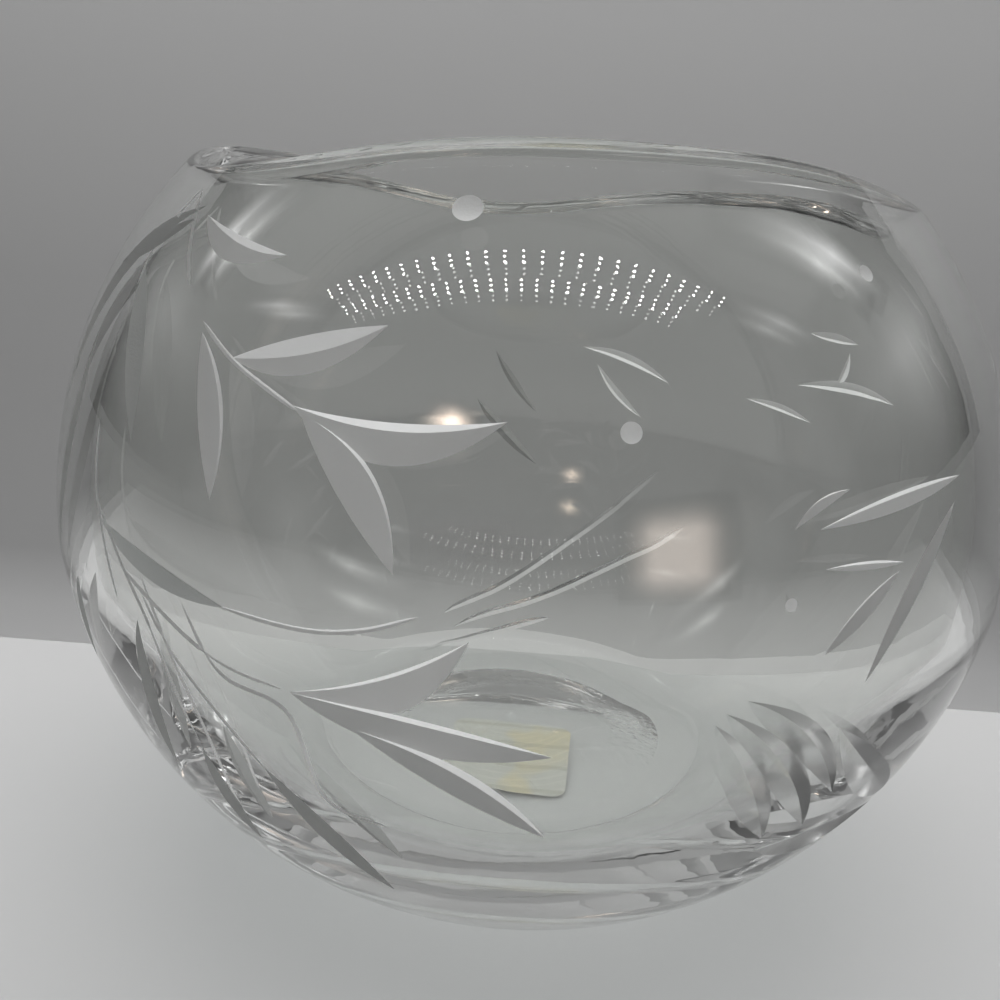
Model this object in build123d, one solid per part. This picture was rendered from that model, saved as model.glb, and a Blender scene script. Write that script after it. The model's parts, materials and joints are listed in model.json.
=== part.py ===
# A cut-crystal rose bowl: one thick glass body with a waved rim and ground leaves, and the small
# label under its foot. Millimetres, +Z up. The origin is the centre of the foot, on the surface
# that the bowl stands on. The side that faces a viewer standing at -Y is the front. Azimuths are
# degrees from the front, positive towards +X.
import os
from math import asin, atan2, cos, degrees, hypot, radians, sin, sqrt, tan

from build123d import *

# Outside of the body: two balls, joined by a tighter belt at the widest place. The upper ball is
# centred at the belly. The lower one sits higher, which draws the foot in.
belly_radius = 85.0
belt_arc_radius = 30.0
lower_ball_lift = 7.6
foot_radius = 43.5
mouth_radius = 59.6
foot_edge_radius = 0.8

# Glass left between the outside and the hollow
wall = 5.0
floor_thickness = 10.5
floor_radius = 44.5
floor_corner_radius = 10.0

# Waved rim: three broad crests and three tighter dips
crest_count = 3
crest_azimuth = 12.0
wave_rise = 2.7
wave_sharpness_share = 0.2
rim_bevel = 1.2

# Shallow dome under the foot, and the label that follows its roof
recess_radius = 34.0
recess_depth = 5.8
label_length = 26.0
label_width = 25.0
label_thickness = 0.15
label_corner_radius = 3.0
label_offset = 14.5
label_turn = -4.0

# Leaves, each ground with one plunge of a mitre wheel. A row has the azimuth of the middle, its
# height as a share of the rim height, the turn from level, and the length as a share of the
# belly radius. The wheel leans over, so that the upper facet is narrow and steep.
leaf_shares = [
    (-32.5, 0.90, -15, 0.22),
    (-20.5, 0.81, 17, 0.25),
    (-11.0, 0.76, 2, 0.29),
    (-14.2, 0.69, -50, 0.26),
    (-29.5, 0.74, -68, 0.25),
    (-44.1, 0.78, -54, 0.33),
    (-53.0, 0.81, -90, 0.16),
    (-33.3, 0.59, -11, 0.28),
    (-36.4, 0.42, -97, 0.34),
    (-29.4, 0.29, -87, 0.26),
    (-17.2, 0.30, -61, 0.33),
    (-11.1, 0.54, 22, 0.26),
    (-6.0, 0.43, -29, 0.40),
    (-56.0, 0.45, -117, 0.23),
    (38.0, 0.61, -128, 0.31),
    (29.2, 0.60, -142, 0.18),
    (36.0, 0.70, 8, 0.32),
    (24.5, 0.70, 27, 0.13),
    (116.0, 0.77, 0, 0.20),
    (113.7, 0.66, -4, 0.36),
    (129.5, 0.60, 6, 0.25),
    (162.0, 0.65, 17, 0.30),
    (163.0, 0.56, 45, 0.24),
    (-176.5, 0.60, 54, 0.27),
    (-172.0, 0.46, 46, 0.34),
]
leaf_depth_share = 0.065
leaf_facet_angle = 57.0
leaf_wheel_lean = 12.0

# Deep polished cuts low on the right of the front, with the same columns
deep_cut_shares = [
    (24.0, 0.50, -36, 0.28),
    (23.0, 0.44, -46, 0.33),
    (20.5, 0.39, -56, 0.32),
    (39.5, 0.37, -40, 0.38),
    (31.0, 0.25, -18, 0.34),
]
deep_cut_depth_share = 0.1
deep_facet_angle = 52.0

# Round dots, ground with a small ball: azimuth, and height as a share of the rim height
dot_shares = [(-7.8, 0.94), (7.9, 0.77), (34.8, 0.90), (21.6, 0.62)]
dot_radius = 1.7
dot_ball_radius = 3.5

# How far a cutting shape runs past what it cuts
overrun = 6.0


# Worked out from the sizes above: radii of the balls, then the heights that they give
belt_centre = belly_radius - belt_arc_radius
lower_radius = belt_arc_radius + hypot(belt_centre, lower_ball_lift)
lower_ball = sqrt(lower_radius**2 - foot_radius**2)
belly_height = lower_ball - lower_ball_lift
rim_height = belly_height + sqrt(belly_radius**2 - mouth_radius**2)
top_level = rim_height + 2 * wave_rise
dome_radius = (recess_radius**2 + recess_depth**2) / (2 * recess_depth)


def touching_ball(belt_arc, radius, level):
    """Height of the ball on the axis that runs smoothly into a belt arc and passes a low point."""
    fall = belly_height - level
    reach = radius**2 + fall**2 - belt_arc**2 - belt_centre**2
    a = 4 * (fall**2 - belt_arc**2)
    b = 4 * reach * fall
    c = reach**2 - (2 * belt_arc * belt_centre) ** 2
    return belly_height + (sqrt(b**2 - 4 * a * c) - b) / (2 * a)


def side_arcs(inset, ball, low_radius, low_level):
    """Outline of one side: lower ball from a low point, belt, upper ball to the top level."""
    upper_radius = belly_radius - inset
    join = degrees(atan2(belly_height - ball, belt_centre))
    low_turn = degrees(atan2(low_level - ball, low_radius))
    top_turn = degrees(asin((top_level - belly_height) / upper_radius))
    lower = CenterArc((0, ball), hypot(low_radius, low_level - ball), low_turn, join - low_turn)
    belt = CenterArc((belt_centre, belly_height), belt_arc_radius - inset, join, -join)
    upper = CenterArc((0, belly_height), upper_radius, 0, top_turn)
    return lower + belt + upper


def turned_form(low_level, side, corner_radius):
    """Solid of revolution between a flat bottom, a rounded corner, the side and a flat top."""
    low, high = side @ 0, side @ 1
    bottom = Line((0, low_level), low)
    lid = Line(high, (0, top_level))
    section = make_face(bottom + side + lid + Line(lid @ 1, bottom @ 0))
    section = fillet(section.vertices().sort_by_distance(low)[0], corner_radius)
    return revolve(Plane.XZ * section, Axis.Z)


def outer_form():
    """The solid outer form, a little taller than the highest crest."""
    return turned_form(0, side_arcs(0, lower_ball, foot_radius, 0), foot_edge_radius)


def hollow_form():
    """The inside space, from the floor with its rounded corner up past the rim."""
    ball = touching_ball(belt_arc_radius - wall, floor_radius, floor_thickness)
    side = side_arcs(wall, ball, floor_radius, floor_thickness)
    return turned_form(floor_thickness, side, floor_corner_radius)


def rim_rise(azimuth):
    """Height of the rim at an azimuth, above its mean height."""
    turn = radians(crest_count * (azimuth - crest_azimuth))
    return wave_rise * (cos(turn) - wave_sharpness_share * cos(2 * turn))


def rim_curve(radius):
    """Closed curve on a cylinder, in the waved cone that crosses the wall squarely at the rim."""
    cone_slope = (rim_height - belly_height) / mouth_radius
    steps = 4 * crest_count
    points = []
    for step in range(steps):
        azimuth = crest_azimuth + 360 / steps * step
        x = radius * sin(radians(azimuth))
        y = -radius * cos(radians(azimuth))
        lift = rim_rise(azimuth) * (1 + cone_slope**2)
        z = rim_height + lift + cone_slope * (radius - mouth_radius)
        points.append(Vector(x, y, z))
    return Edge.make_spline(points, periodic=True)


def above_rim():
    """All that is cut away above the waved rim."""
    inner_edge = rim_curve(mouth_radius / 2)
    outer_edge = rim_curve(mouth_radius + overrun)
    surface = Face.make_surface_from_curves(inner_edge, outer_edge)
    return Solid.extrude(surface, Vector(0, 0, mouth_radius))


def skin_place(azimuth, height_share):
    """Place on the outside of the glass: X level, Y up along the skin, Z straight out of it."""
    level = height_share * rim_height
    below = level < belly_height
    ball, radius = (lower_ball, lower_radius) if below else (belly_height, belly_radius)
    slope = asin((level - ball) / radius)
    turn = radians(azimuth)
    outward = Vector(sin(turn) * cos(slope), -cos(turn) * cos(slope), sin(slope))
    along = Vector(cos(turn), sin(turn), 0)
    return Plane(Vector(0, 0, ball) + outward * radius, x_dir=along, z_dir=outward).location


def mitre_cut(azimuth, height_share, turn, length_share, depth_share, facet_angle, lean):
    """Part of a wheel with a V edge, where its plunge leaves a cut of the given length."""
    half_length = length_share * belly_radius / 2
    depth = depth_share * 2 * half_length
    wheel_radius = 1 / (2 * depth / half_length**2 - 1 / belly_radius)
    half_width = (depth + overrun) * tan(radians(facet_angle))
    swing = degrees((half_length + overrun) / wheel_radius)
    edge = Polyline((0, -depth), (half_width, overrun), (-half_width, overrun), close=True)
    wheel_axis = Axis((0, 0, wheel_radius - depth), (0, 1, 0))
    start = make_face(Plane.YZ * edge).rotate(wheel_axis, -swing)
    place = skin_place(azimuth, height_share) * Rot(0, 0, turn) * Rot(lean, 0, 0)
    return place * revolve(start, wheel_axis, 2 * swing)


def dot_cut(azimuth, height_share):
    """Small grinding ball, sunk until the dot has its width."""
    centre = Pos(0, 0, sqrt(dot_ball_radius**2 - dot_radius**2))
    return skin_place(azimuth, height_share) * centre * Sphere(dot_ball_radius)


def decoration():
    """Everything that the cutter's wheels take out of the skin."""
    shallow = (leaf_depth_share, leaf_facet_angle, leaf_wheel_lean)
    deep = (deep_cut_depth_share, deep_facet_angle, leaf_wheel_lean)
    cuts = [mitre_cut(*row, *shallow) for row in leaf_shares]
    cuts += [mitre_cut(*row, *deep) for row in deep_cut_shares]
    cuts += [dot_cut(*row) for row in dot_shares]
    return cuts


def dome_ball(inset):
    """The ball whose top is the roof of the recess, smaller by an inset."""
    return Pos(0, 0, recess_depth - dome_radius) * Sphere(dome_radius - inset)


def make_bowl():
    """The glass: outer form less the hollow, the rim waved and bevelled, the foot recessed."""
    glass = outer_form() - hollow_form() - above_rim()
    rim_face = glass.faces().sort_by(Axis.Z)[-1]
    glass = chamfer(rim_face.edges(), rim_bevel)
    return glass - dome_ball(0) - decoration()


def make_label():
    """The label, stuck to the roof of the recess and curved with it."""
    outline = RectangleRounded(label_length, label_width, label_corner_radius)
    place = Pos(0, -label_offset, 0) * Rot(0, 0, label_turn)
    column = place * extrude(outline, recess_depth)
    return (column & dome_ball(0)) - dome_ball(label_thickness)


pieces = {
    "glass_bowl": make_bowl(),
    "base_label": make_label(),
}

os.makedirs("parts", exist_ok=True)
for name, piece in pieces.items():
    piece.label = name
    export_step(piece, f"parts/{name}.step")
    print(name, "volume", round(piece.volume / 1000, 2), "cm3")
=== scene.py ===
# %% [markdown]
# # A cut-crystal rose bowl
# The real object is one thick piece of lead crystal. A cutter ground leaves, stems and dots into
# its skin on turning wheels. A small paper label sticks under the foot. This file dresses the
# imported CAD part: clear glass, matt ground cuts, and the light that shows them.
#
# Blender counts in metres. `mm` turns drawing sizes into metres, so the numbers below read like
# a workshop drawing.

# %% Load the frame
import json
from math import asin, atan2, cos, hypot, pi, radians, sin, sqrt

import bmesh
import bpy
from mathutils import Matrix, Vector

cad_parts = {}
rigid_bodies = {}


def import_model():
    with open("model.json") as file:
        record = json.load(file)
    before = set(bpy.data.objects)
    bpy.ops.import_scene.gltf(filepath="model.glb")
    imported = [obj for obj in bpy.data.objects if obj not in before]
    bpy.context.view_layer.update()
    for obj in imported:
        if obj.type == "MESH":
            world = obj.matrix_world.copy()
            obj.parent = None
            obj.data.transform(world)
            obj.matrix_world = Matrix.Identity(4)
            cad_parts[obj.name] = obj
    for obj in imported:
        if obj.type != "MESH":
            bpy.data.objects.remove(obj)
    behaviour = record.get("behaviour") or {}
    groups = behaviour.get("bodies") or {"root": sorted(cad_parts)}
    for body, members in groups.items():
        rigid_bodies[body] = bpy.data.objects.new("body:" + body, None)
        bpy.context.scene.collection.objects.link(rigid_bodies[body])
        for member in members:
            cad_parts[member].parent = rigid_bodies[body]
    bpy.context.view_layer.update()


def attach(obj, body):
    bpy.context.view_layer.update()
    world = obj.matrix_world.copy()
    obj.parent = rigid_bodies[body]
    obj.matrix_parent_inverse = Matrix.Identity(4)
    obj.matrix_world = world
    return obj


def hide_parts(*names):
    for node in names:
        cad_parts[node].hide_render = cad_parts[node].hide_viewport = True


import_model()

scene = bpy.context.scene
mm = 0.001

# %% [markdown]
# ## The camera
# The photograph was taken close up, a little below the level of the rim and looking down into the
# bowl, with the camera turned slightly about its own axis. Place and angles were fitted to the
# outline and the rim. The camera is made first, because the lights are placed by what they show.

# %% Camera
focal_pixels = 900.0
image_pixels = 1000.0
sensor_width = 36.0
camera_place = Vector((0, -173.5 * mm, 119.3 * mm))
camera_pitch = radians(17.78)
camera_yaw = radians(-1.72)
camera_roll = radians(3.5)


def aim(place, yaw, pitch, roll):
    """World matrix of a camera that looks along +Y, turned by yaw, pitched down and rolled."""
    forward = Vector((sin(yaw) * cos(pitch), cos(yaw) * cos(pitch), -sin(pitch)))
    level = Vector((cos(yaw), -sin(yaw), 0))
    upright = level.cross(forward)
    right = level * cos(roll) + upright * sin(roll)
    up = upright * cos(roll) - level * sin(roll)
    matrix = Matrix((right, up, -forward)).transposed().to_4x4()
    matrix.translation = place
    return matrix


camera_data = bpy.data.cameras.new("camera")
camera_data.sensor_width = sensor_width
camera_data.lens = focal_pixels / image_pixels * sensor_width
camera_data.clip_start = 0.01
camera = bpy.data.objects.new("camera", camera_data)
scene.collection.objects.link(camera)
scene.camera = camera
camera.matrix_world = aim(camera_place, camera_yaw, camera_pitch, camera_roll)
print("camera lens:", round(camera_data.lens, 1), "mm")

# %% [markdown]
# ## Sizes of the glass
# The outside is two balls. The upper one is centred at the belly, and the lower one sits a little
# higher, which draws the foot in. A tighter belt joins them. Everything else, such as the height
# of the rim, follows from those radii, just as in the CAD part.

# %% Sizes
belly_radius = 85.0 * mm
belt_arc_radius = 30.0 * mm
lower_ball_lift = 7.6 * mm
foot_radius = 43.5 * mm
mouth_radius = 59.6 * mm
foot_edge = 0.8 * mm
wall = 5.0 * mm
floor_thickness = 10.5 * mm
floor_radius = 44.5 * mm
floor_corner = 10.0 * mm
crest_count = 3
crest_azimuth = 12.0
wave_rise = 2.7 * mm
wave_sharpness = 0.2
rim_bevel = 1.2 * mm
lip_drop = 0.1 * mm
recess_radius = 34.0 * mm
recess_depth = 5.8 * mm
foot_flat_share = 0.85

belt_centre = belly_radius - belt_arc_radius
lower_radius = belt_arc_radius + hypot(belt_centre, lower_ball_lift)
lower_ball = sqrt(lower_radius**2 - foot_radius**2)
belly_height = lower_ball - lower_ball_lift
rim_height = belly_height + sqrt(belly_radius**2 - mouth_radius**2)
rim_angle = atan2(rim_height - belly_height, mouth_radius)
print("belly", round(belly_height / mm, 1), "mm up, rim", round(rim_height / mm, 1), "mm up")


def touching_ball(belt_arc, radius, level):
    """Height of the ball on the axis that runs into a belt arc and passes a low point."""
    fall = belly_height - level
    reach = radius**2 + fall**2 - belt_arc**2 - belt_centre**2
    a = 4 * (fall**2 - belt_arc**2)
    b = 4 * reach * fall
    c = reach**2 - (2 * belt_arc * belt_centre) ** 2
    return belly_height + (sqrt(b**2 - 4 * a * c) - b) / (2 * a)


# %% [markdown]
# ## Turning the bowl
# A bowl is a turned form, so its outline is drawn once and spun round the axis, as on a lathe.
# Arcs are sampled finely, because light that bends through glass shows every facet. The outline
# runs from the middle of the recess, round the foot, up the outside, over the lip and down the
# inside to the middle of the floor. Its first part is the recess, the foot and the lower ball.

# %% Outline of the foot and the lower outside
recess_steps = 24
ball_steps = 64
belt_steps = 8


def arc(centre, radius, start, end, steps):
    """Points of an arc in the (distance from axis, height) plane."""
    turns = [start + (end - start) * i / steps for i in range(steps + 1)]
    return [(centre[0] + radius * cos(t), centre[1] + radius * sin(t)) for t in turns]


def outside_points():
    """Recess, foot and outside, up to the belly."""
    dome_radius = (recess_radius**2 + recess_depth**2) / (2 * recess_depth)
    dome_edge = asin(recess_radius / dome_radius)
    roof_centre = (0, recess_depth - dome_radius)
    roof = arc(roof_centre, dome_radius, pi / 2, pi / 2 - dome_edge, recess_steps)
    roof[0] = (0, recess_depth)
    foot = [(foot_radius * foot_flat_share, 0), (foot_radius - foot_edge, 0)]
    join = atan2(belly_height - lower_ball, belt_centre)
    low = atan2(-lower_ball, foot_radius)
    lower = arc((0, lower_ball), lower_radius, low + foot_edge / lower_radius, join, ball_steps)
    belt = arc((belt_centre, belly_height), belt_arc_radius, join, 0, belt_steps)
    return roof + foot + lower + belt[1:]


outside = outside_points()
print("recess, foot and lower outside:", len(outside), "points")

# %% [markdown]
# ## The lip
# The rim is ground, bevelled and polished, so its two edges are soft. Each bevel is drawn as a
# quarter round, and the skins on both sides of it are arcs round the middle of the belly.

# %% Outline of the lip
upper_steps = 56
lip_steps = 8


def lip_points():
    """The upper outside, the bevelled lip and the upper inside, down to the belly."""
    outer = belly_radius
    inner = belly_radius - wall
    centre = (0, belly_height)
    bevel = rim_bevel / belly_radius
    top = rim_angle - lip_drop / belly_radius
    side = arc(centre, outer, 0, top - bevel, upper_steps)
    back = arc(centre, inner, top - bevel, 0, upper_steps)
    lip = []
    for i in range(1, lip_steps + 1):
        t = pi / 2 * i / lip_steps
        lip.append((outer - rim_bevel * (1 - cos(t)), top - bevel * (1 - sin(t))))
    for i in range(lip_steps + 1):
        t = pi / 2 * (1 - i / lip_steps)
        lip.append((inner + rim_bevel * (1 - cos(t)), top - bevel * (1 - sin(t))))
    lip = [(r * cos(a), belly_height + r * sin(a)) for r, a in lip]
    return side[1:] + lip[:-1] + back


lip = lip_points()
print("upper skins and lip:", len(lip), "points")

# %% [markdown]
# ## The inside
# Inside, the wall runs down into a rounded corner and a flat floor. The glass gets thicker
# towards the foot, and that is what bends the light so strongly low down.

# %% Outline of the inside
corner_steps = 16
floor_steps = 8


def inside_points():
    """The inside from the belly down to the middle of the floor."""
    belt_arc = belt_arc_radius - wall
    ball = touching_ball(belt_arc, floor_radius, floor_thickness)
    radius = hypot(floor_radius, floor_thickness - ball)
    join = atan2(belly_height - ball, belt_centre)
    corner_height = floor_thickness + floor_corner
    corner_reach = sqrt((radius - floor_corner) ** 2 - (corner_height - ball) ** 2)
    meet = atan2(corner_height - ball, corner_reach)
    belt = arc((belt_centre, belly_height), belt_arc, 0, join, belt_steps)
    lower = arc((0, ball), radius, join, meet, ball_steps)
    corner = arc((corner_reach, corner_height), floor_corner, meet, -pi / 2, corner_steps)
    reaches = [corner_reach * (1 - i / floor_steps) for i in range(1, floor_steps + 1)]
    return belt[1:] + lower[1:] + corner[1:] + [(reach, floor_thickness) for reach in reaches]


outline = outside + lip + inside_points()
print("whole outline:", len(outline), "points")

# %% [markdown]
# ## Spinning it and waving the rim
# The spin makes a level rim. The real rim rises and falls in gentle waves, probably made while the
# glass was soft. Both skins are slid along their balls for them: most at the lip, and not at all
# at the belly. The wall keeps its thickness that way.

# %% Spin and wave
around = 240
merge_gap = 1e-6


def rim_rise(azimuth):
    """Rise of the rim over its mean height: three broad crests, three tighter dips."""
    turn = crest_count * (azimuth - radians(crest_azimuth))
    return wave_rise * (cos(turn) - wave_sharpness * cos(2 * turn))


def wave_rim(bm):
    """Slides the upper part of both skins along their balls, so that the lip rises and falls."""
    for v in bm.verts:
        reach = hypot(v.co.x, v.co.y)
        radius = hypot(reach, v.co.z - belly_height)
        if v.co.z <= belly_height or reach == 0:
            continue
        turn = atan2(v.co.z - belly_height, reach)
        azimuth = atan2(v.co.x, -v.co.y)
        new_rim = asin((rim_height + rim_rise(azimuth) - belly_height) / belly_radius)
        turn *= 1 + (new_rim / rim_angle - 1) * (turn / rim_angle) ** 2
        scale = radius * cos(turn) / reach
        v.co = (v.co.x * scale, v.co.y * scale, belly_height + radius * sin(turn))


def spun_bowl():
    """The uncut bowl as a mesh."""
    bm = bmesh.new()
    verts = [bm.verts.new((x, 0, z)) for x, z in outline]
    for a, b in zip(verts, verts[1:]):
        bm.edges.new((a, b))
    geometry = bm.verts[:] + bm.edges[:]
    bmesh.ops.spin(bm, geom=geometry, axis=(0, 0, 1), angle=2 * pi, steps=around, use_merge=True)
    bmesh.ops.remove_doubles(bm, verts=bm.verts[:], dist=merge_gap)
    bmesh.ops.recalc_face_normals(bm, faces=bm.faces[:])
    wave_rim(bm)
    mesh = bpy.data.meshes.new("bowl")
    bm.to_mesh(mesh)
    bm.free()
    return mesh


bowl_mesh = spun_bowl()
print("uncut bowl:", len(bowl_mesh.polygons), "faces")

# %% [markdown]
# ## Where a cut goes
# The decoration sits on the outside, so each cut is placed by its azimuth (0 faces the camera,
# positive to the right) and its height as a share of the rim's height. Finding the skin by two
# angles keeps every cut on the glass, whatever its size.

# %% Places on the skin
def skin_point(azimuth, height):
    """Point of the outside skin and its outward direction, at an azimuth in degrees."""
    below = height < belly_height
    ball, radius = (lower_ball, lower_radius) if below else (belly_height, belly_radius)
    slope = asin((height - ball) / radius)
    turn = radians(azimuth)
    outward = Vector((sin(turn) * cos(slope), -cos(turn) * cos(slope), sin(slope)))
    return Vector((0, 0, ball)) + outward * radius, outward


print("front of the belly:", [round(c / mm, 1) for c in skin_point(0, belly_height)[0]], "mm")

# %% [markdown]
# ## The cutter's tools
# A leaf is ground by a wheel with a V edge. It leaves a pointed boat shape with a crease, and as
# the hand swings the glass, the boat bends. One facet is steep and narrow, the other broad. The
# tool that cuts it is a three-sided bar: it starts flat, sinks along its length and rises again,
# and is then laid onto the ball of the bowl. Laying it on the ball keeps its depth true.

# %% Bars
overrun = 1.6 * mm
past_the_tips = 1.3
leaf_steps = 28
cutters = bpy.data.collections.new("wheels")


def three_sided_bar(steps):
    """A closed bar of unit length each way along Z, and its corners as (station, side, vertex)."""
    bm = bmesh.new()
    bmesh.ops.create_cone(bm, cap_ends=True, segments=3, radius1=1, radius2=1, depth=2)
    long_edges = [e for e in bm.edges if abs(e.verts[0].co.z - e.verts[1].co.z) > 1]
    bmesh.ops.subdivide_edges(bm, edges=long_edges, cuts=steps)
    corners = []
    for v in bm.verts:
        side = 0 if abs(v.co.x) < 0.5 else (1 if v.co.x > 0 else -1)
        corners.append((v.co.z, side, v))
    return bm, corners


def keep_cutter(bm, name, material):
    """Stores a closed tool mesh in the collection that the bowl is cut with."""
    bmesh.ops.recalc_face_normals(bm, faces=bm.faces[:])
    if bm.calc_volume(signed=True) < 0:
        bmesh.ops.reverse_faces(bm, faces=bm.faces[:])
    mesh = bpy.data.meshes.new(name)
    bm.to_mesh(mesh)
    bm.free()
    mesh.materials.append(material)
    tool = bpy.data.objects.new(name, mesh)
    cutters.objects.link(tool)


def leaf_wheel(name, material, stalk, tip, bow, upper, lower, depth_share):
    """Cuts a leaf from its stalk to its tip. Bow, widths and depth are shares of its length."""
    start = skin_point(stalk[0], stalk[1] * rim_height)[0]
    end = skin_point(tip[0], tip[1] * rim_height)[0]
    middle = (start + end) / 2
    below = middle.z < belly_height
    ball, radius = (lower_ball, lower_radius) if below else (belly_height, belly_radius)
    outward = (middle - Vector((0, 0, ball))).normalized()
    length = (end - start).length
    along = (end - start).normalized()
    across = outward.cross(along).normalized()
    along = across.cross(outward)
    depth = depth_share * length
    bm, corners = three_sided_bar(leaf_steps)
    for station, side, v in corners:
        t = past_the_tips * station
        sink = depth * (1 - t * t)
        crease = bow * length * (1 - t * t)
        rise = -sink if side == 0 else overrun
        slope = 0 if side == 0 else (upper if side > 0 else -lower) * length / depth
        x = t * length / 2 / radius
        y = (crease + slope * (sink + rise)) / radius
        direction = along * sin(x) * cos(y) + across * sin(y) + outward * cos(x) * cos(y)
        v.co = Vector((0, 0, ball)) + direction * (radius + rise)
    keep_cutter(bm, name, material)


print("the wheels reach", overrun / mm, "mm above the skin, so that they cut clean through it")

# %% [markdown]
# ## Stems
# A stem is one long stroke of a thin wheel. The stroke follows a few places on the skin, joined
# by a smooth curve, and the groove stays narrow all along and fades out at both ends.

# %% Stems
stem_steps = 40
fade_power = 8
end_lift = 0.02 * mm


def smooth_path(points, steps):
    """Positions along a smooth curve through a list of (azimuth, height share) places."""
    before = 2 * Vector(points[0]) - Vector(points[1])
    after = 2 * Vector(points[-1]) - Vector(points[-2])
    knots = [before] + [Vector(p) for p in points] + [after]
    spans = len(points) - 1
    path = []
    for i in range(steps + 1):
        place = min(i / steps * spans, spans - 1e-6)
        k, t = int(place), place - int(place)
        a, b, c, d = knots[k : k + 4]
        slope = c - a
        bend = 2 * a - 5 * b + 4 * c - d
        twist = 3 * b - a - 3 * c + d
        path.append(0.5 * (2 * b + slope * t + bend * t**2 + twist * t**3))
    return path


def thin_wheel(name, material, points, width, depth):
    """Cuts a groove through a list of places, tapering at both ends."""
    last = stem_steps + 1
    path = [skin_point(p.x, p.y * rim_height) for p in smooth_path(points, last)]
    bm, corners = three_sided_bar(stem_steps)
    for station, side, v in corners:
        i = round((station + 1) / 2 * last)
        place, outward = path[i]
        before, after = path[max(i - 1, 0)][0], path[min(i + 1, last)][0]
        across = outward.cross(after - before).normalized()
        fade = 1 - (2 * i / last - 1) ** fade_power
        sink = depth * fade - end_lift
        if side == 0:
            v.co = place - outward * sink
        else:
            reach = across * side * width / 2 / depth * (sink + overrun / 2)
            v.co = place + outward * overrun / 2 + reach
    keep_cutter(bm, name, material)


print("a stem is swept through", stem_steps + 2, "places")

# %% [markdown]
# ## Dots
# A dot is a shallow bowl, ground by holding the glass against a small ball. The ball's frame on
# the skin has X level, Y up along the skin and Z straight out of it, so sinking the ball is one
# move along Z.

# %% Dots
dot_ball_radius = 3.5 * mm


def skin_frame(azimuth, height_share):
    """Matrix from a tool's own frame to its place on the skin."""
    point, outward = skin_point(azimuth, height_share * rim_height)
    level = Vector((cos(radians(azimuth)), sin(radians(azimuth)), 0))
    upward = outward.cross(level)
    matrix = Matrix((level, upward, outward)).transposed().to_4x4()
    matrix.translation = point
    return matrix


def small_ball(name, material, azimuth, height_share, dot_radius):
    """A grinding ball, sunk until the dot has its width."""
    bm = bmesh.new()
    bmesh.ops.create_uvsphere(bm, u_segments=32, v_segments=20, radius=dot_ball_radius)
    lift = Matrix.Translation((0, 0, sqrt(dot_ball_radius**2 - dot_radius**2)))
    bm.transform(skin_frame(azimuth, height_share) @ lift)
    keep_cutter(bm, name, material)


print("grinding ball:", dot_ball_radius / mm, "mm radius")

# %% [markdown]
# ## Crystal and ground glass
# Lead crystal is clear, with a higher index than window glass. A cut that is left as the stone
# leaves it is matt: it scatters the light, so it shows as soft grey or white. Its share of
# translucent light stands for what comes through from inside the glass. The deep cuts near the
# foot were polished again. Lamps reach the label and the board through the glass, so for their
# shadow rays the glass counts as a thin clear filter, which is far quicker than true caustics.

# %% Glass materials
crystal_index = 1.54
lamp_filter = (0.85, 0.86, 0.86, 1)
milk_white = (1.0, 1.0, 1.0, 1)
grain_detail = 3.0
grain_depth = 1.0 * mm


def glass(name, roughness, colour, grain, grain_scale, transmission=1.0, glow_through=0.0):
    """A glass material: the grain is a fine bump of the given strength and scale."""
    material = bpy.data.materials.new(name)
    material.use_nodes = True
    nodes, links = material.node_tree.nodes, material.node_tree.links
    shader = nodes["Principled BSDF"]
    shader.inputs["Base Color"].default_value = (*colour, 1)
    shader.inputs["Roughness"].default_value = roughness
    shader.inputs["IOR"].default_value = crystal_index
    shader.inputs["Transmission Weight"].default_value = transmission
    place = nodes.new("ShaderNodeTexCoord")
    noise = nodes.new("ShaderNodeTexNoise")
    noise.inputs["Scale"].default_value = grain_scale
    noise.inputs["Detail"].default_value = grain_detail
    bump = nodes.new("ShaderNodeBump")
    bump.inputs["Strength"].default_value = grain
    bump.inputs["Distance"].default_value = grain_depth
    links.new(place.outputs["Object"], noise.inputs["Vector"])
    links.new(noise.outputs["Fac"], bump.inputs["Height"])
    links.new(bump.outputs["Normal"], shader.inputs["Normal"])
    surface = shader.outputs["BSDF"]
    if glow_through:
        milky = nodes.new("ShaderNodeBsdfTranslucent")
        milky.inputs["Color"].default_value = milk_white
        share = nodes.new("ShaderNodeMixShader")
        share.inputs["Fac"].default_value = glow_through
        links.new(surface, share.inputs[1])
        links.new(milky.outputs["BSDF"], share.inputs[2])
        surface = share.outputs["Shader"]
    rays = nodes.new("ShaderNodeLightPath")
    clear = nodes.new("ShaderNodeBsdfTransparent")
    clear.inputs["Color"].default_value = lamp_filter
    mix = nodes.new("ShaderNodeMixShader")
    links.new(rays.outputs["Is Shadow Ray"], mix.inputs["Fac"])
    links.new(surface, mix.inputs[1])
    links.new(clear.outputs["BSDF"], mix.inputs[2])
    links.new(mix.outputs["Shader"], nodes["Material Output"].inputs["Surface"])
    return material


print("glass with an index of", crystal_index, "made by glass()")

# %% [markdown]
# ## The finishes
# The skin is nearly flawless, with a very faint unevenness. The outer part of the domed recess
# shows crinkled highlights in the photograph, so it gets a coarser one. The ground cuts probably
# all have one finish on the real bowl, but those low on the left look darker. A likely reason is
# that ground glass sends most light straight on, which this shader doesn't do, so they get
# painted shade here: a darker, less milky copy of the ground finish.

# %% Finishes
clear_tint = (0.94, 0.95, 0.935)
stone_roughness = 0.5
stone_grain = (0.12, 3000.0)

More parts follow.
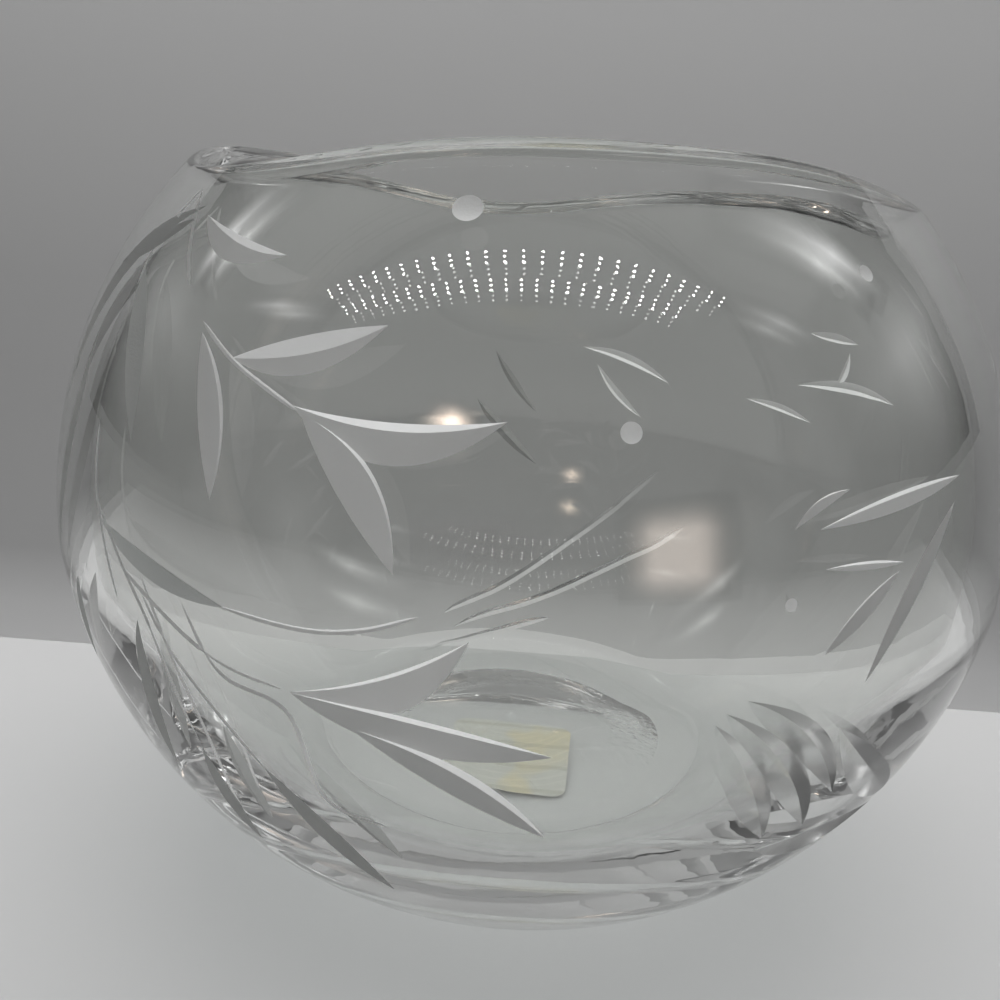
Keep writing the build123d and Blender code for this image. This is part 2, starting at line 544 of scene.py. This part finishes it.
crystal = glass("clear_crystal", 0.0, clear_tint, 0.02, 60.0)
recess_edge = glass("recess_edge", 0.03, clear_tint, 0.25, 500.0)
ground = glass("ground_cut", stone_roughness, (0.90, 0.91, 0.90), *stone_grain, 0.30, 0.80)
# Painted shade: a darker, less milky copy of the ground finish, for the cuts low on the left.
painted_shade = glass("painted_shade_cut", stone_roughness, (0.38, 0.39, 0.38), *stone_grain, 0.35, 0.08)
dot_ground = glass("ground_dot", stone_roughness, (0.95, 0.96, 0.95), *stone_grain, 0.2, 0.35)
polished = glass("polished_cut", 0.2, (0.86, 0.87, 0.86), 0.05, 200.0)
finishes = (crystal, ground, polished, dot_ground, recess_edge, painted_shade)
print("finishes:", [finish.name for finish in finishes])

# %% [markdown]
# ## The leaves
# Each row is one leaf: where its stalk lies and where its tip lies (azimuth and height share), how
# far it bows, and how wide its upper and lower facets are. The last three are shares of its length.
# The rows were read from the photograph. Those past 90 degrees lie on the far side and were read
# through the glass, so they are less sure.

# %% Leaves
leaf_depth_share = 0.062
leaves = [
    (-40.1, 0.921, -25.3, 0.891, -0.072, 0.040, 0.147),
    (-27.6, 0.797, -12.8, 0.841, -0.055, 0.079, 0.138),
    (-20.2, 0.766, -1.8, 0.772, -0.079, 0.030, 0.148),
    (-19.2, 0.761, -9.6, 0.636, 0.150, 0.040, 0.171),
    (-32.2, 0.815, -26.7, 0.670, 0.077, 0.083, 0.106),
    (-48.0, 0.867, -38.3, 0.701, 0.059, 0.060, 0.100),
    (-41.9, 0.917, -56.9, 0.860, 0.052, 0.060, 0.080),
    (-42.1, 0.611, -24.2, 0.573, -0.044, 0.058, 0.050),
    (-35.3, 0.530, -37.8, 0.310, 0.021, 0.050, 0.060),
    (-29.9, 0.386, -28.6, 0.233, 0.000, 0.080, 0.080),
    (-22.0, 0.397, -11.4, 0.224, 0.040, 0.060, 0.070),
    (-18.1, 0.506, -3.4, 0.586, -0.080, 0.040, 0.150),
    (-18.1, 0.506, 3.5, 0.476, -0.019, 0.076, 0.076),
    (-12.7, 0.481, 3.7, 0.369, 0.047, 0.099, 0.052),
    (-48.1, 0.528, -53.1, 0.382, 0.037, 0.080, 0.100),
    (-41.3, 0.930, -59.5, 0.690, -0.150, 0.050, 0.060),
    (-52.7, 0.789, -58.4, 0.497, 0.080, 0.045, 0.045),
    (41.6, 0.692, 30.3, 0.529, -0.046, 0.053, 0.051),
    (33.1, 0.638, 25.3, 0.568, -0.012, 0.074, 0.080),
    (24.1, 0.686, 42.8, 0.715, 0.003, 0.040, 0.040),
    (21.7, 0.688, 27.3, 0.719, 0.098, 0.041, 0.099),
    (24.7, 0.650, 33.7, 0.645, 0.005, 0.040, 0.040),
    (-171.9, 0.656, 179.0, 0.511, 0.038, 0.050, 0.050),
    (-168.0, 0.550, 178.2, 0.387, 0.036, 0.050, 0.060),
    (170.6, 0.677, 152.7, 0.615, -0.058, 0.054, 0.050),
    (167.5, 0.639, 157.9, 0.526, 0.064, 0.053, 0.062),
    (122.1, 0.777, 109.8, 0.778, 0.014, 0.060, 0.088),
    (136.8, 0.612, 122.3, 0.596, -0.031, 0.050, 0.050),
    (125.9, 0.666, 101.5, 0.685, -0.035, 0.040, 0.040),
    (117.4, 0.675, 112.5, 0.757, 0.058, 0.072, 0.073),
]


def low_on_the_left(stalk_azimuth, tip_azimuth, tip_share):
    """True for a leaf low down or far round on the left, where the photograph is darker."""
    return stalk_azimuth < -20 and tip_share < 0.6 or tip_azimuth < -37


# Leaves low on the left get the painted-shade copy of the ground finish; the others get the ground
# finish.
for i, (a, h, b, k, bow, upper, lower) in enumerate(leaves):
    stone = painted_shade if low_on_the_left(a, b, k) else ground
    leaf_wheel(f"leaf_{i}", stone, (a, h), (b, k), bow, upper, lower, leaf_depth_share)
print("leaves:", len(leaves))

# %% [markdown]
# ## The deep cuts
# Low on the right, five deep cuts lie side by side, made with the same kind of wheel and then
# polished. They are long and shallow for their length, so that the wall stays whole.

# %% Deep cuts
deep_depth_share = 0.032
deep_cuts = [
    (16.7, 0.541, 31.9, 0.383, 0.108, 0.060, 0.090),
    (16.0, 0.528, 30.7, 0.333, 0.077, 0.060, 0.090),
    (15.8, 0.513, 25.6, 0.333, 0.045, 0.070, 0.110),
    (28.5, 0.484, 48.2, 0.303, -0.004, 0.060, 0.100),
    (25.5, 0.310, 47.3, 0.285, -0.040, 0.120, 0.100),
]

for i, (a, h, b, k, bow, upper, lower) in enumerate(deep_cuts):
    leaf_wheel(f"deep_{i}", polished, (a, h), (b, k), bow, upper, lower, deep_depth_share)
print("deep cuts:", len(deep_cuts))

# %% [markdown]
# ## Stems and long strokes
# The stems tie the leaves into sprays. Three wider strokes sweep over the far side low down, and
# they get the polished finish. A path that crosses the back would jump from 180 to -180 degrees,
# so its azimuths are made to run on first.

# %% Stem paths
stem_width, stem_depth = 0.7 * mm, 0.3 * mm
stroke_width, stroke_depth = 2.4 * mm, 0.7 * mm
stems = [
    [(-32.7, 0.825), (-27.7, 0.797), (-23.5, 0.779), (-19.2, 0.761)],
    [(-44.9, 0.945), (-41.8, 0.910), (-38.9, 0.876), (-36.7, 0.854)],
    [(-45.2, 0.947), (-47.3, 0.907), (-47.9, 0.875), (-47.2, 0.844)],
    [(-42.8, 0.627), (-38.0, 0.578), (-32.9, 0.509), (-29.8, 0.390)],
    [(-38.0, 0.573), (-33.3, 0.552), (-25.3, 0.516), (-18.1, 0.506)],
    [(-34.7, 0.557), (-30.8, 0.506), (-26.3, 0.453), (-21.9, 0.396)],
    [(-25.2, 0.573), (-17.0, 0.572), (-11.9, 0.582), (-7.3, 0.603)],
    [(-45.0, 0.706), (-43.7, 0.646), (-41.1, 0.589), (-38.5, 0.532)],
    [(-34.7, 0.576), (-30.9, 0.502), (-28.1, 0.396), (-28.3, 0.239)],
    [(-29.3, 0.566), (-24.9, 0.503), (-18.3, 0.481), (-15.8, 0.377), (-10.3, 0.357)],
    [(-50.2, 0.532), (-55.3, 0.428), (-50.9, 0.353), (-45.4, 0.279)],
]
long_strokes = [
    [(-158.2, 0.082), (-177.5, 0.139), (165.3, 0.261), (152.2, 0.414)],
    [(-160.3, 0.058), (171.9, 0.120), (151.9, 0.234), (144.0, 0.305)],
    [(-147.6, 0.013), (-169.0, 0.041), (170.7, 0.079)],
]


def around_back(places):
    """The same places, with azimuths that run on across the back without a jump."""
    crosses = max(a for a, h in places) > 90
    return [(a + 360 if a < 0 and crosses else a, h) for a, h in places]


for i, places in enumerate(stems):
    thin_wheel(f"stem_{i}", ground, around_back(places), stem_width, stem_depth)
for i, places in enumerate(long_strokes):
    thin_wheel(f"stroke_{i}", polished, around_back(places), stroke_width, stroke_depth)
print("stems:", len(stems), "long strokes:", len(long_strokes))

# %% [markdown]
# ## The dots in their places
# Four dots of different sizes stand free between the leaves. Each has its azimuth, its height
# share and its radius.

# %% Dot places
dots = [
    (-7.8, 0.943, 1.9 * mm),
    (7.9, 0.769, 1.3 * mm),
    (34.9, 0.905, 1.2 * mm),
    (21.6, 0.621, 0.9 * mm),
]
for i, (azimuth, height_share, dot_radius) in enumerate(dots):
    small_ball(f"dot_{i}", dot_ground, azimuth, height_share, dot_radius)

# %% [markdown]
# ## Cutting the bowl
# One Boolean takes all the cutters out of the glass, and each cut face keeps the material of the
# tool that made it. That mirrors the workshop: the stone decides whether a cut is matt.

# %% Cut
even_recess_share = 0.68
crease_angle = radians(14)


def cut_bowl(mesh):
    """The bowl's mesh with every wheel stroke taken out of it."""
    for finish in finishes:
        mesh.materials.append(finish)
    for face in mesh.polygons:
        reach = hypot(face.center.x, face.center.y)
        outer_part = even_recess_share * recess_radius < reach < recess_radius
        if outer_part and 0 < face.center.z < recess_depth:
            face.material_index = finishes.index(recess_edge)
    uncut = bpy.data.objects.new("uncut", mesh)
    scene.collection.objects.link(uncut)
    scene.collection.children.link(cutters)
    cut = uncut.modifiers.new("cut", "BOOLEAN")
    cut.operation = "DIFFERENCE"
    cut.operand_type = "COLLECTION"
    cut.collection = cutters
    cut.solver = "MANIFOLD"
    cut.material_mode = "TRANSFER"
    graph = bpy.context.evaluated_depsgraph_get()
    result = bpy.data.meshes.new_from_object(uncut.evaluated_get(graph), depsgraph=graph)
    bpy.data.objects.remove(uncut)
    for tool in list(cutters.objects):
        bpy.data.objects.remove(tool)
    bpy.data.collections.remove(cutters)
    return result


bowl = bpy.data.objects.new("crystal_bowl", cut_bowl(bowl_mesh))
scene.collection.objects.link(bowl)
bowl.data.name = "crystal_bowl"
bowl.data.shade_smooth()
bowl.data.set_sharp_from_angle(angle=crease_angle)
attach(bowl, "root")
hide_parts("glass_bowl")
print("cut bowl:", len(bowl.data.polygons), "faces in", len(bowl.data.materials), "finishes")

# %% [markdown]
# ## The paper label
# A small square label sticks to the roof of the recess and is seen through the floor of the bowl.
# Its mesh is the CAD solid, so only the paper is made here: grey-cream, with a yellower blot and
# faint printed rules.

# %% Label
paper_grey = (0.62, 0.62, 0.57, 1)
paper_yellow = (0.68, 0.63, 0.46, 1)
ink_colour = (0.30, 0.28, 0.18, 1)
ink_strength = (0.30, 0.30, 0.30, 1)


def paper(name):
    """Aged paper with a yellower blot and faint printed rules."""
    material = bpy.data.materials.new(name)
    material.use_nodes = True
    nodes, links = material.node_tree.nodes, material.node_tree.links
    shader = nodes["Principled BSDF"]
    shader.inputs["Roughness"].default_value = 0.6
    place = nodes.new("ShaderNodeTexCoord")
    blot = nodes.new("ShaderNodeTexNoise")
    blot.inputs["Scale"].default_value = 70.0
    tint = nodes.new("ShaderNodeValToRGB")
    tint.color_ramp.elements[0].position = 0.52
    tint.color_ramp.elements[0].color = paper_grey
    tint.color_ramp.elements[1].position = 0.62
    tint.color_ramp.elements[1].color = paper_yellow
    rules = nodes.new("ShaderNodeTexWave")
    rules.bands_direction = "Y"
    rules.inputs["Scale"].default_value = 42.0
    rules.inputs["Distortion"].default_value = 1.5
    thin = nodes.new("ShaderNodeValToRGB")
    thin.color_ramp.elements[0].position = 0.90
    thin.color_ramp.elements[1].position = 0.97
    thin.color_ramp.elements[1].color = ink_strength
    ink = nodes.new("ShaderNodeMix")
    ink.data_type = "RGBA"
    ink.inputs["B"].default_value = ink_colour
    for texture in (blot, rules):
        links.new(place.outputs["Object"], texture.inputs["Vector"])
    links.new(blot.outputs["Fac"], tint.inputs["Fac"])
    links.new(rules.outputs["Fac"], thin.inputs["Fac"])
    links.new(thin.outputs["Color"], ink.inputs["Factor"])
    links.new(tint.outputs["Color"], ink.inputs["A"])
    links.new(ink.outputs["Result"], shader.inputs["Base Color"])
    return material


label = paper("label_paper")
for material_slot in bpy.data.objects["base_label"].material_slots:
    material_slot.material = label
print("label finish:", label.name)

# %% [markdown]
# ## The board and the wall
# A pale board ends just behind the foot, and a grey wall stands well back from it. Glass has no
# colour of its own: it shows what stands around it, so the wall's grey carries painted light that
# goes by height, from pale at the bottom to mid grey. The ledge below the board keeps the lower
# part light.

# %% Board and wall
def plain(name, colour, roughness=0.8, glow=0.0):
    """A plain matt material for the studio."""
    material = bpy.data.materials.new(name)
    material.use_nodes = True
    shader = material.node_tree.nodes["Principled BSDF"]
    shader.inputs["Base Color"].default_value = (*colour, 1)
    shader.inputs["Roughness"].default_value = roughness
    shader.inputs["Emission Color"].default_value = (*colour, 1)
    shader.inputs["Emission Strength"].default_value = glow
    return material


def stage_mesh(bm, name, material):
    """Links a mesh that belongs to the studio, not to the object."""
    mesh = bpy.data.meshes.new(name)
    bm.to_mesh(mesh)
    bm.free()
    mesh.materials.append(material)
    item = bpy.data.objects.new(name, mesh)
    scene.collection.objects.link(item)
    return item


def board(name, width, height, place, tilt, material):
    """A flat board, turned up about X by the tilt."""
    bm = bmesh.new()
    bmesh.ops.create_grid(bm, x_segments=1, y_segments=1, size=0.5)
    bmesh.ops.scale(bm, verts=bm.verts[:], vec=(width, height, 1))
    bmesh.ops.rotate(bm, verts=bm.verts[:], matrix=Matrix.Rotation(tilt, 3, "X"))
    bmesh.ops.translate(bm, verts=bm.verts[:], vec=place)
    return stage_mesh(bm, name, material)


def grey(value):
    """A grey without alpha."""
    return (value, value, value)


def painted_wall_light(low, high, stops_by_share):
    """Grey with painted light by height, from a low to a high level, with its stops as (share,
    grey).
    """
    material = plain("painted_wall_light", grey(0.6))
    nodes, links = material.node_tree.nodes, material.node_tree.links
    place = nodes.new("ShaderNodeTexCoord")
    split = nodes.new("ShaderNodeSeparateXYZ")
    reach = nodes.new("ShaderNodeMapRange")
    reach.inputs["From Min"].default_value = low
    reach.inputs["From Max"].default_value = high
    ramp = nodes.new("ShaderNodeValToRGB")
    links.new(place.outputs["Object"], split.inputs["Vector"])
    links.new(split.outputs["Z"], reach.inputs["Value"])
    links.new(reach.outputs["Result"], ramp.inputs["Fac"])
    links.new(ramp.outputs["Color"], nodes["Principled BSDF"].inputs["Base Color"])
    stops = ramp.color_ramp.elements
    first, *between, last = stops_by_share
    for share, value in between:
        stops.new(share).color = (*grey(value), 1)
    stops[0].color = (*grey(first[1]), 1)
    stops[-1].color = (*grey(last[1]), 1)
    return material


floor_back = 44 * mm
floor_depth = 1.2
floor_sink = 0.05 * mm
floor_centre = (0, floor_back - floor_depth / 2, -floor_sink)
# Painted light on the wall: pale low down, mid grey higher up, by height.
wall_light_stops = [(0, 0.85), (0.08, 0.76), (0.18, 0.54), (0.34, 0.54), (0.62, 0.54), (1, 0.64)]
wall_with_painted_light = painted_wall_light(-210 * mm, 230 * mm, wall_light_stops)

board("floor", 2, floor_depth, floor_centre, 0, plain("board_paint", grey(0.60)))
board("wall", 4, 0.9, (0, 420 * mm, 50 * mm), pi / 2, wall_with_painted_light)
board("ledge", 4, 380 * mm, (0, 230 * mm, -215 * mm), 0, plain("ledge_paint", grey(0.8)))
print("the board ends", round(floor_back / mm), "mm behind the middle of the bowl")

# %% [markdown]
# ## Sparkle
# Cut glass sparkles because it mirrors small lamps. Two rows of lamps under the ceiling, each
# lamp with three dots, show as curved dotted lines on the front and in the far inside wall. They
# light nothing else, so that the soft light stays the only thing that shapes the board and wall.

# %% Lamp rows
ceiling = 450 * mm
lamp_count = 26
lamp_glow = 75
dot_gap = 9.5 * mm
lamp_dot_radius = 2.0 * mm
lamp_dot_sides = 10


def only_mirrored(item):
    """The item is seen in and through the glass only, and lights nothing."""
    item.visible_camera = False
    item.visible_diffuse = False
    item.visible_shadow = False


def lamp_row(name, start, end):
    """A strip of small lamps from one (x, y) place to another, three dots side by side each."""
    bm = bmesh.new()
    for i in range(lamp_count):
        centre = Vector((*start, ceiling)).lerp(Vector((*end, ceiling)), i / (lamp_count - 1))
        for j in (-1, 0, 1):
            spot = Matrix.Translation(centre + Vector((0, j * dot_gap, 0)))
            bmesh.ops.create_circle(
                bm, cap_ends=True, segments=lamp_dot_sides, radius=lamp_dot_radius, matrix=spot
            )
    row = stage_mesh(bm, name, plain(name + "_light", (1, 1, 1), glow=lamp_glow))
    only_mirrored(row)


lamp_row("lamp_row_front", (-0.35, -0.212), (0.275, -0.208))
lamp_row("lamp_row_near", (-0.336, -0.262), (0.215, -0.260))
print("lamps:", 2 * lamp_count)

# %% [markdown]
# ## Soft reflections
# A room has larger soft lights too: strips under the ceiling, pale walls at the sides, a warm lamp
# and a warm window behind the camera. Panels that fade out to their edges stand for them. They
# give the swooshes on the shoulders and the warm spots on the front.

# %% Glow panels
def glow_material(name, colour, strength, softness):
    """Even light that fades out towards all four edges of a panel, on the panel's own UV map."""
    material = bpy.data.materials.new(name)
    material.use_nodes = True
    nodes, links = material.node_tree.nodes, material.node_tree.links
    nodes.remove(nodes["Principled BSDF"])

    def maths(operation, a, b, clamp=False):
        node = nodes.new("ShaderNodeMath")
        node.operation = operation
        node.use_clamp = clamp
        for socket, value in zip(node.inputs, (a, b)):
            if isinstance(value, float):
                socket.default_value = value
            else:
                links.new(value, socket)
        return node.outputs["Value"]

    place = nodes.new("ShaderNodeTexCoord")
    split = nodes.new("ShaderNodeSeparateXYZ")
    links.new(place.outputs["UV"], split.inputs["Vector"])
    sides = []
    for side in ("X", "Y"):
        edge = maths("PINGPONG", split.outputs[side], 0.5)
        sides.append(maths("MULTIPLY", edge, 1 / softness, clamp=True))
    fade = maths("MULTIPLY", sides[0], sides[1])
    fade = maths("MULTIPLY", fade, fade)
    shader = nodes.new("ShaderNodeEmission")
    shader.inputs["Color"].default_value = (*colour, 1)
    links.new(maths("MULTIPLY", fade, float(strength)), shader.inputs["Strength"])
    links.new(shader.outputs["Emission"], nodes["Material Output"].inputs["Surface"])
    return material


def facing(place, target):
    """Matrix of something at a place that looks at a target along its own -Z."""
    direction = Vector(target) - Vector(place)
    turn = direction.to_track_quat("-Z", "Y").to_matrix()
    return Matrix.Translation(place) @ turn.to_4x4()


def glow_panel(name, place, target, width, height, colour, strength, softness=0.5):
    """A soft-edged panel that faces a target and shows in the glass only."""
    bm = bmesh.new()
    bm.loops.layers.uv.new("panel")
    bmesh.ops.create_grid(bm, x_segments=1, y_segments=1, size=0.5, calc_uvs=True)
    bmesh.ops.scale(bm, verts=bm.verts[:], vec=(width, height, 1))
    bm.transform(facing(place, target))
    panel = stage_mesh(bm, name, glow_material(name + "_light", colour, strength, softness))
    only_mirrored(panel)
    return panel


def glow_strip(name, start, end, width, strength):
    """A soft strip under the ceiling, from one (x, y) place to another."""
    run = Vector(end) - Vector(start)
    centre = (Vector(start) + run / 2).to_3d() + Vector((0, 0, ceiling))
    below = centre - Vector((0, 0, 1))
    strip = glow_panel(name, centre, below, run.length, width, (1, 1, 1), strength)
    pivot = Matrix.Translation(centre)
    strip.data.transform(pivot @ Matrix.Rotation(atan2(run.y, run.x), 4, "Z") @ pivot.inverted())


middle = (0, 0, 0.1)
warm_aim, window_aim = (0, -0.08, 0.1), (0, -0.08, 0.085)
lamp_colour, window_colour = (1, 0.80, 0.66), (1, 0.86, 0.76)
window_softness = 0.3

glow_strip("strip_right", (0.19, -0.05), (0.66, 0.13), 0.11, 5.8)
glow_strip("strip_right_near", (0.26, -0.21), (0.56, -0.15), 0.06, 3.0)
glow_strip("strip_left", (-0.28, 0.065), (-0.80, 0.12), 0.10, 6.0)
glow_strip("strip_left_near", (-0.35, -0.26), (-0.62, -0.10), 0.06, 4.0)
glow_panel("room_right", (0.80, 0.15, 0.40), middle, 0.9, 0.6, (1, 1, 1), 0.9)
glow_panel("room_left", (-0.80, 0.15, 0.35), middle, 0.9, 0.6, (1, 1, 1), 0.6)
glow_panel("warm_lamp", (-0.21, -0.65, 0.44), warm_aim, 0.16, 0.12, lamp_colour, 20)
glow_panel(
    "warm_window", (0.40, -0.66, 0.13), window_aim, 0.34, 0.30, window_colour, 3.4, window_softness
)
panels = [item.name for item in scene.objects if item.name.startswith(("strip", "room", "warm"))]
print("panels:", panels)

# %% [markdown]
# ## Soft light
# Two large lights above, one in front and one behind, light the board, the wall and the ground
# cuts. They don't show in the glass, where their hard edges would draw white squares. The grey
# world fills in from all sides.

# %% Soft lights
def soft_light(name, place, target, width, height, power):
    """A rectangular soft light that faces a target and isn't seen in or through the glass."""
    data = bpy.data.lights.new(name, "AREA")
    data.shape = "RECTANGLE"
    data.size, data.size_y = width, height
    data.energy = power
    light = bpy.data.objects.new(name, data)
    light.matrix_world = facing(place, target)
    scene.collection.objects.link(light)
    light.visible_transmission = False
    light.visible_glossy = False


soft_light("overhead", (0, -0.1, 1.1), (0, 0, 0), 1.2, 0.8, 8.0)
soft_light("overhead_back", (0, 0.5, 1.0), (0, 0, 0.08), 1.2, 0.5, 4.7)

world_grey = (0.5, 0.5, 0.5, 1)
world_strength = 0.32
world = bpy.data.worlds.new("world")
scene.world = world
world.use_nodes = True
sky = world.node_tree.nodes["Background"]
sky.inputs["Color"].default_value = world_grey
sky.inputs["Strength"].default_value = world_strength
scene.view_settings.view_transform = "Standard"
print("lights:", len(bpy.data.lights))

# %% [markdown]
# ## How far light may travel
# Light in a thick foot or rim is mirrored round inside the glass many times before it comes out.
# With Blender's usual limit such paths end early and the glass turns black there, so the limits
# are raised.

# %% Light paths
most_bounces = 28
scene.cycles.max_bounces = most_bounces
scene.cycles.transmission_bounces = most_bounces
scene.cycles.glossy_bounces = most_bounces
print("light paths of up to", most_bounces, "bounces")
